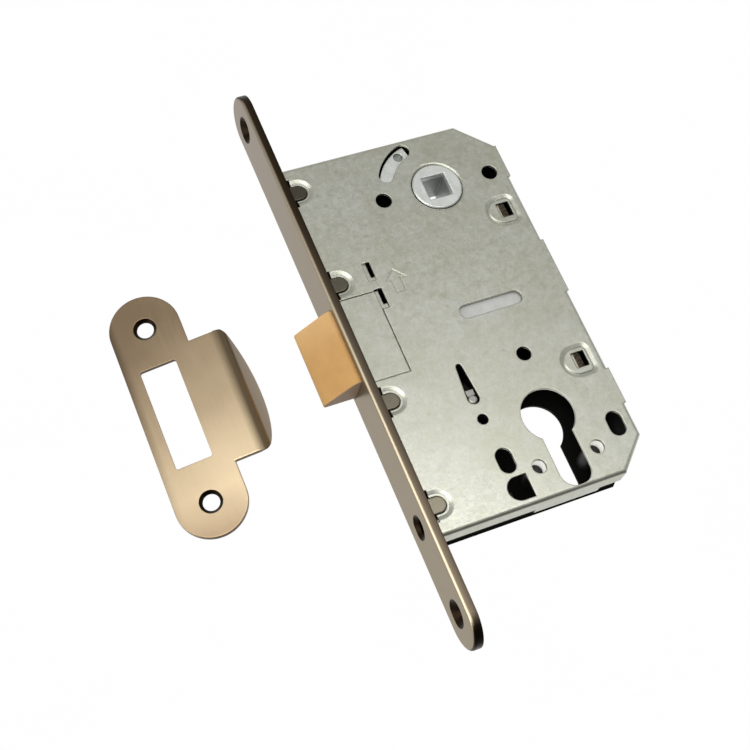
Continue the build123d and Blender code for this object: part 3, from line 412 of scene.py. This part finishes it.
def ochre_nylon():
    """Moulded latch head: satin, faintly mottled, scuffed on its edges, paler above and painted grey shade on the
    faces that look down.
    """
    s = Shader("ochre_nylon")
    cloud = s.noise(0.12, 4, 0.6)
    skin = s.noise(5.0, 4, 0.65)
    color = s.mix(s.spread(cloud), (0.56, 0.305, 0.095), (0.64, 0.365, 0.125))
    scuff = s.maths("MULTIPLY", s.edge_mask(0.5), s.between(s.noise(0.6, 4, 0.7), 0.4, 0.65))
    color = s.mix(s.maths("MULTIPLY", scuff, 0.35), color, (0.72, 0.50, 0.24))
    color = s.mix(s.between(s.millimetres(2), -48.0, -32.0, -0.1, 0.3), color, (0.90, 0.62, 0.30))
    # Painted shade: grey on faces that look down
    painted_underside_shade = s.between(s.axis(s.normal(), 2), -0.8, -0.4, 1.0, 0.0)
    color = s.mix(s.maths("MULTIPLY", painted_underside_shade, 0.75), color, (0.34, 0.27, 0.215))
    roughness = s.spread(skin, 0.46, 0.58)
    normal = s.bump(skin, 0.010, s.soft_edges(0.3))
    return s.finish(color, roughness, 0.0, normal, Specular_IOR_Level=0.4)


def white_nylon():
    """Natural nylon: off-white with a moulded skin, and painted shade in its recesses."""
    s = Shader("white_nylon")
    cloud = s.noise(0.25, 3, 0.5)
    skin = s.noise(4.0, 3, 0.6)
    color = s.mix(s.spread(cloud), (0.53, 0.535, 0.51), (0.62, 0.625, 0.59))
    # Painted shade in recesses, from ambient occlusion
    color = s.mix(s.between(s.hollow(3.0), 0.05, 0.6), (0.36, 0.36, 0.33), color)
    normal = s.bump(skin, 0.008, s.soft_edges(0.25))
    return s.finish(color, s.spread(skin, 0.42, 0.55), 0.0, normal)


def zinc_alloy():
    """Die-cast follower: cool grey with fine cast grain, with painted shade in its recesses and deeper in the
    case.
    """
    s = Shader("zinc_alloy")
    grain = s.noise(3.2, 5, 0.75)
    cloud = s.noise(0.35, 3, 0.6)
    color = s.mix(s.spread(cloud), (0.72, 0.75, 0.71), (0.86, 0.88, 0.83))
    # Painted shade in recesses, from ambient occlusion
    color = s.mix(s.between(s.hollow(3.0), 0.05, 0.6), (0.07, 0.075, 0.07), color)
    # Painted shade deeper in the case
    color = s.mix(s.between(s.millimetres(1), -5.5, -4.8, 0.0, 0.55), color, (0.03, 0.03, 0.03))
    normal = s.bump(grain, 0.03, s.soft_edges(0.35))
    return s.finish(color, s.spread(grain, 0.32, 0.5), 0.9, normal)


def turned_steel(name, tint, roughness, inside=None, upper_share=1.0):
    """Plain steel of the small parts: streaked, with a painted highlight on its edges, and painted black shade
    where the inside mask is 1.

    The upper share is how bright it still is at the top of the case, as painted shade darkens it upwards.
    """
    s = Shader(name)
    streak = s.noise(1.6, 4, 0.7, stretch=(1, 0.4, 1))
    color = s.mix(s.spread(streak), [c * 0.82 for c in tint], tint)
    # Painted shade: darker towards the top of the case
    dimmed = s.between(s.millimetres(2), -100.0, 10.0, 0.0, 1.0 - upper_share)
    color = s.mix(dimmed, color, (0.0, 0.0, 0.0))
    # Painted highlight on the edges
    color = s.mix(s.maths("MULTIPLY", s.edge_mask(0.35, 0.05, 0.3), 0.6), color, (0.70, 0.68, 0.60))
    metallic = 1.0
    glint = 0.5
    if inside is not None:
        color, metallic, glint = with_painted_shade(s, color, inside(s))
    normal = s.bump(streak, 0.012, s.soft_edges(0.3))
    rough = s.spread(streak, roughness - 0.05, roughness + 0.06)
    return s.finish(color, rough, metallic, normal, Specular_IOR_Level=glint)


def painted_glow_bore():
    """Screw sleeves: a painted glow just behind the cover, and painted black shade deeper in."""
    s = Shader("painted_glow_bore")
    streak = s.noise(1.6, 4, 0.7, stretch=(1, 0.4, 1))
    color = s.mix(s.spread(streak), (0.84, 0.84, 0.80), (0.93, 0.93, 0.89))
    # Painted shade: near black deeper in the bore
    painted_shade = s.between(s.millimetres(1), -2.8, -2.0)
    color = s.mix(painted_shade, color, (0.02, 0.019, 0.017))
    normal = s.bump(streak, 0.006, s.soft_edges(0.3))
    # Emission as a painted glow, standing in for light caught by the bore
    s.feed(s.surface.inputs["Emission Color"], color)
    painted_glow = s.between(painted_shade, 0.0, 1.0, 0.3, 0.0)
    return s.finish(color, 0.42, 0.0, normal, Specular_IOR_Level=0.3, Emission_Strength=painted_glow)


def browned_steel():
    """Tenon ends: browned, with wear, and a painted highlight on their edge towards the faceplate."""
    s = Shader("browned_steel")
    blotch = s.noise(1.1, 5, 0.7, distortion=0.4)
    color = s.mix(s.between(blotch, 0.42, 0.66), (0.03, 0.023, 0.015), (0.13, 0.105, 0.07))
    # Painted highlight on faces that look towards the faceplate
    painted_left_highlight = s.between(s.dot(s.soft_edges(0.45), (-1, 0, 0)), 0.15, 0.5)
    color = s.mix(s.maths("MULTIPLY", painted_left_highlight, 0.9), color, (0.75, 0.72, 0.60))
    normal = s.bump(blotch, 0.05, s.soft_edges(0.3))
    return s.finish(color, s.spread(blotch, 0.3, 0.5), 0.85, normal)


def screw_sinks(*names):
    """Countersinks of the named mounts, as (centre, axis, radius in mm)."""
    sinks = []
    for name in names:
        mount = mount_of(name)
        half = mount["dims"].get("spacing_y_mm", 0.0) / 2
        for shift in {-half, half}:
            centre = Vector(mount["pos_m"]) + Vector((0, 0, shift * MM))
            sinks.append((centre, mount["axis"], SINK_RADII[name]))
    return sinks


MATERIALS = {
    "galvanised_steel": sheet_steel("galvanised_steel", deep_in_case),
    "nickel_steel": turned_steel("nickel_steel", (0.26, 0.235, 0.175), 0.32, upper_share=0.42),
    "ochre_nylon": ochre_nylon(),
    "white_nylon": white_nylon(),
    "zinc_alloy": zinc_alloy(),
    "plain_steel": turned_steel("plain_steel", (0.62, 0.62, 0.58), 0.30, deep_in_case),
    "spring_steel": turned_steel("spring_steel", (0.42, 0.43, 0.44), 0.28),
    "browned_steel": browned_steel(),
}
# Nodes whose finish differs from the rest of their slot by where they sit, mostly in their painted shade and light
SPECIAL = {
    "case_cover": sheet_steel("galvanised_cover", inside_cover),
    "case_back": sheet_steel("galvanised_back", inside_back),
    "screw_sleeves": painted_glow_bore(),
    "key_lever_axle": turned_steel("dull_steel", (0.42, 0.42, 0.38), 0.32, deep_in_case),
    "faceplate": faceplate_bronze(),
    "strike_plate": strike_bronze(),
}
for part in RECORD["subparts"]:
    mesh = NODES[part["node"]].data
    mesh.materials.clear()
    mesh.materials.append(SPECIAL.get(part["node"]) or MATERIALS[part["material_slot"]])


# ------------------------------------------------------------------ springs
WIRE_RADIUS = 0.45 * MM
WIRE_SIDES = 10
LATCH_SPRING_TURNS = 9
POINTS_PER_TURN = 24
# Depth of the sine that draws the latch spring's end coils closer, as a share of its length
END_CLOSING = 0.045
RETURN_SPRING_TURNS = 2
RETURN_COIL_POINTS = 64
# Legs of the return spring: reach from the follower's axis, and angle from +X towards +Z
FIXED_LEG = (20.0 * MM, math.radians(-137.9))
FREE_LEG = (15.4 * MM, math.radians(-78.9))


def joint_of(name):
    """One of the frame's joints."""
    return next(joint for joint in frame["joints"] if joint["name"] == name)


def wire(name, path):
    """Round spring wire along a path of points, with its ends closed."""
    mesh = bmesh.new()
    rings = []
    side = None
    for index, point in enumerate(path):
        ahead = path[min(index + 1, len(path) - 1)] - path[max(index - 1, 0)]
        ahead.normalize()
        if side is None:
            side = ahead.orthogonal()
        side = (side - side.dot(ahead) * ahead).normalized()
        other = ahead.cross(side)
        ring = []
        for step in range(WIRE_SIDES):
            turn = 2 * math.pi * step / WIRE_SIDES
            outwards = math.cos(turn) * side + math.sin(turn) * other
            ring.append(mesh.verts.new(point + WIRE_RADIUS * outwards))
        rings.append(ring)
    for before, after in zip(rings, rings[1:]):
        for step in range(WIRE_SIDES):
            following = (step + 1) % WIRE_SIDES
            mesh.faces.new((before[step], before[following], after[following], after[step]))
    mesh.faces.new(reversed(rings[0]))
    mesh.faces.new(rings[-1])
    data = bpy.data.meshes.new(name)
    mesh.to_mesh(data)
    mesh.free()
    for face in data.polygons:
        face.use_smooth = True
    data.materials.append(MATERIALS["spring_steel"])
    piece = bpy.data.objects.new(name, data)
    bpy.context.scene.collection.objects.link(piece)
    return piece


def latch_spring_wire():
    """Spring behind the latch carriage, with closer end coils."""
    low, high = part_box("latch_spring")
    coil = (high.z - low.z) / 2 - WIRE_RADIUS
    centre = (low + high) / 2
    length = high.x - low.x
    steps = LATCH_SPRING_TURNS * POINTS_PER_TURN
    points = []
    for step in range(steps + 1):
        share = step / steps
        eased = share - END_CLOSING * math.sin(2 * math.pi * share)
        angle = 2 * math.pi * LATCH_SPRING_TURNS * share
        x = low.x + WIRE_RADIUS + eased * (length - 2 * WIRE_RADIUS)
        points.append(Vector((x, centre.y + coil * math.cos(angle), centre.z + coil * math.sin(angle))))
    spring = wire("latch_spring_wire", points)
    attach(spring, "case")
    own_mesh(spring)
    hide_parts("latch_spring")


def return_spring_wire():
    """Spring round the follower: one leg rests on its post, and the other ends at the drive arm's peg."""
    centre = Vector(joint_of("follower_turn")["pos_m"])
    low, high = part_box("return_spring")
    coil = high.x - centre.x - WIRE_RADIUS
    back = high.y - WIRE_RADIUS
    front = low.y + WIRE_RADIUS
    fixed_reach, fixed_angle = FIXED_LEG
    free_reach, free_angle = FREE_LEG

    def at(reach, angle, depth):
        return Vector((centre.x + reach * math.cos(angle), depth, centre.z + reach * math.sin(angle)))

    points = [at(fixed_reach, fixed_angle, back)]
    swept = fixed_angle - free_angle + 2 * math.pi * RETURN_SPRING_TURNS
    for step in range(RETURN_COIL_POINTS + 1):
        share = step / RETURN_COIL_POINTS
        points.append(at(coil, fixed_angle - swept * share, back + (front - back) * share))
    points.append(at(free_reach, free_angle, front))
    spring = wire("return_spring_wire", points)
    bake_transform(spring)
    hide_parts("return_spring")


latch_spring_wire()
return_spring_wire()


# ------------------------------------------------------------------ stage, light and camera
def softbox(name, place, target, size, power):
    """Rectangular area light at a place, facing a target point."""
    light = bpy.data.lights.new(name, "AREA")
    light.shape = "RECTANGLE"
    light.size, light.size_y = size
    light.energy = power
    lamp = bpy.data.objects.new(name, light)
    lamp.location = place
    lamp.rotation_euler = (Vector(target) - Vector(place)).to_track_quat("-Z", "Y").to_euler()
    bpy.context.scene.collection.objects.link(lamp)


# Wall of light in front of the set: name, middle across and up, width, height and power. Its middle is
# the dimmest, because the cover mirrors that part straight back when it is seen from the front.
WALL_DISTANCE = 0.90
WALL = [
    ("key_left", -0.38, -0.185, 0.46, 0.78, 3.15),
    ("key_middle", 0.01, -0.185, 0.32, 0.78, 0.8),
    ("key_right", 0.28, -0.01, 0.24, 0.36, 0.85),
]
for name, across, up, width, height, power in WALL:
    softbox(name, (across, -WALL_DISTANCE, up), (across, 0.0, up), (width, height), power)
softbox("left", (-0.90, -0.35, -0.08), (0.0, 0.0, -0.08), (0.8, 0.75), 2.8)

# Strength of the tent of light, below and above: in front of the set, then behind it
TENT = [(0.55, 0.62), (1.1, 1.0)]
# Share of the tent's strength that is left straight below
NADIR = 0.2


def pale_world():
    """White to the camera; to everything else a tent of light, brighter behind and dim straight below."""
    world = bpy.data.worlds.new("tent")
    bpy.context.scene.world = world
    world.use_nodes = True
    tree = world.node_tree
    tree.nodes.clear()
    output = tree.nodes.new("ShaderNodeOutputWorld")
    pick = tree.nodes.new("ShaderNodeMixShader")
    path = tree.nodes.new("ShaderNodeLightPath")
    seen = tree.nodes.new("ShaderNodeBackground")
    tent = tree.nodes.new("ShaderNodeBackground")
    seen.inputs["Color"].default_value = (1, 1, 1, 1)
    tree.links.new(path.outputs["Is Camera Ray"], pick.inputs[0])
    tree.links.new(tent.outputs[0], pick.inputs[1])
    tree.links.new(seen.outputs[0], pick.inputs[2])
    tree.links.new(pick.outputs[0], output.inputs["Surface"])
    coordinates = tree.nodes.new("ShaderNodeTexCoord")
    split = tree.nodes.new("ShaderNodeSeparateXYZ")
    tree.links.new(coordinates.outputs["Generated"], split.inputs[0])

    def ramp(direction, start, end, low, high):
        """Strength that runs from low to high as the view direction's Y or Z goes from start to end."""
        node = tree.nodes.new("ShaderNodeMapRange")
        for name, value in (("From Min", start), ("From Max", end), ("To Min", low), ("To Max", high)):
            node.inputs[name].default_value = value
        tree.links.new(direction, node.inputs["Value"])
        return node.outputs[0]

    depth = split.outputs[1]
    rise = split.outputs[2]
    blend = tree.nodes.new("ShaderNodeMix")
    tree.links.new(ramp(depth, -0.3, 0.5, 0.0, 1.0), blend.inputs[0])
    for socket, (below, above) in zip(blend.inputs[2:4], TENT):
        tree.links.new(ramp(rise, -0.2, 0.5, below, above), socket)
    dimmed = tree.nodes.new("ShaderNodeMath")
    dimmed.operation = "MULTIPLY"
    tree.links.new(blend.outputs[0], dimmed.inputs[0])
    tree.links.new(ramp(rise, -0.85, -0.5, NADIR, 1.0), dimmed.inputs[1])
    tree.links.new(dimmed.outputs[0], tent.inputs["Strength"])


pale_world()

# Metres from the middle of the board to its edges, and from the set's back to the board
BOARD_REACH = 2.0
BOARD_GAP = 0.0005


def pale_floor():
    """Pale board that the set lies on, seen only by the camera and only from its front."""
    mesh = bmesh.new()
    depth = CAD_BOX[1].y + BOARD_GAP
    corners = []
    for across, up in ((-1, -1), (1, -1), (1, 1), (-1, 1)):
        place = (SET_MIDDLE.x + across * BOARD_REACH, depth, SET_MIDDLE.z + up * BOARD_REACH)
        corners.append(mesh.verts.new(place))
    mesh.faces.new(corners)
    data = bpy.data.meshes.new("floor")
    mesh.to_mesh(data)
    mesh.free()
    board = bpy.data.objects.new("floor", data)
    bpy.context.scene.collection.objects.link(board)
    s = Shader("pale_board")
    tone = s.mix(s.noise(0.02, 3, 0.5), (0.99, 0.99, 0.99), (1.0, 1.0, 1.0))
    glow = s.add("ShaderNodeEmission")
    s.feed(glow.inputs["Color"], tone)
    glow.inputs["Strength"].default_value = 1.0
    clear = s.add("ShaderNodeBsdfTransparent")
    pick = s.add("ShaderNodeMixShader")
    s.join(s.add("ShaderNodeNewGeometry").outputs["Backfacing"], pick.inputs[0])
    s.join(glow.outputs[0], pick.inputs[1])
    s.join(clear.outputs[0], pick.inputs[2])
    s.join(pick.outputs[0], s.output.inputs["Surface"])
    data.materials.append(s.material)
    for ray in ("visible_diffuse", "visible_glossy", "visible_transmission", "visible_shadow"):
        setattr(board, ray, False)


pale_floor()

# Camera: degrees that it turns from facing the cover, looks up and rolls
VIEW_TURN = 18.78
VIEW_RISE = 20.36
VIEW_ROLL = 23.94
# What it looks at and from how far, in metres, and its lens and sensor, in millimetres
VIEW_TARGET = Vector((0.0068, 0.0, -0.0535))
VIEW_DISTANCE = 0.4423
LENS = 69.43
SENSOR_WIDTH = 36.0


def main_camera():
    """Camera in front of the cover, below and to the left, rolled so that the lock leans left."""
    turn, rise, roll = (math.radians(angle) for angle in (VIEW_TURN, VIEW_RISE, VIEW_ROLL))
    ahead = Vector((math.sin(turn) * math.cos(rise), math.cos(turn) * math.cos(rise), math.sin(rise)))
    level = ahead.cross(Vector((0, 0, 1))).normalized()
    up = math.cos(roll) * level.cross(ahead) + math.sin(roll) * level
    right = ahead.cross(up)
    axes = Matrix((right, up, -ahead)).transposed()
    data = bpy.data.cameras.new("camera")
    data.sensor_width = SENSOR_WIDTH
    data.lens = LENS
    data.clip_start = 0.01
    data.clip_end = 10.0
    camera = bpy.data.objects.new("camera", data)
    camera.matrix_world = Matrix.Translation(VIEW_TARGET - VIEW_DISTANCE * ahead) @ axes.to_4x4()
    bpy.context.scene.collection.objects.link(camera)
    bpy.context.scene.camera = camera


main_camera()
bpy.context.scene.view_settings.view_transform = "Standard"
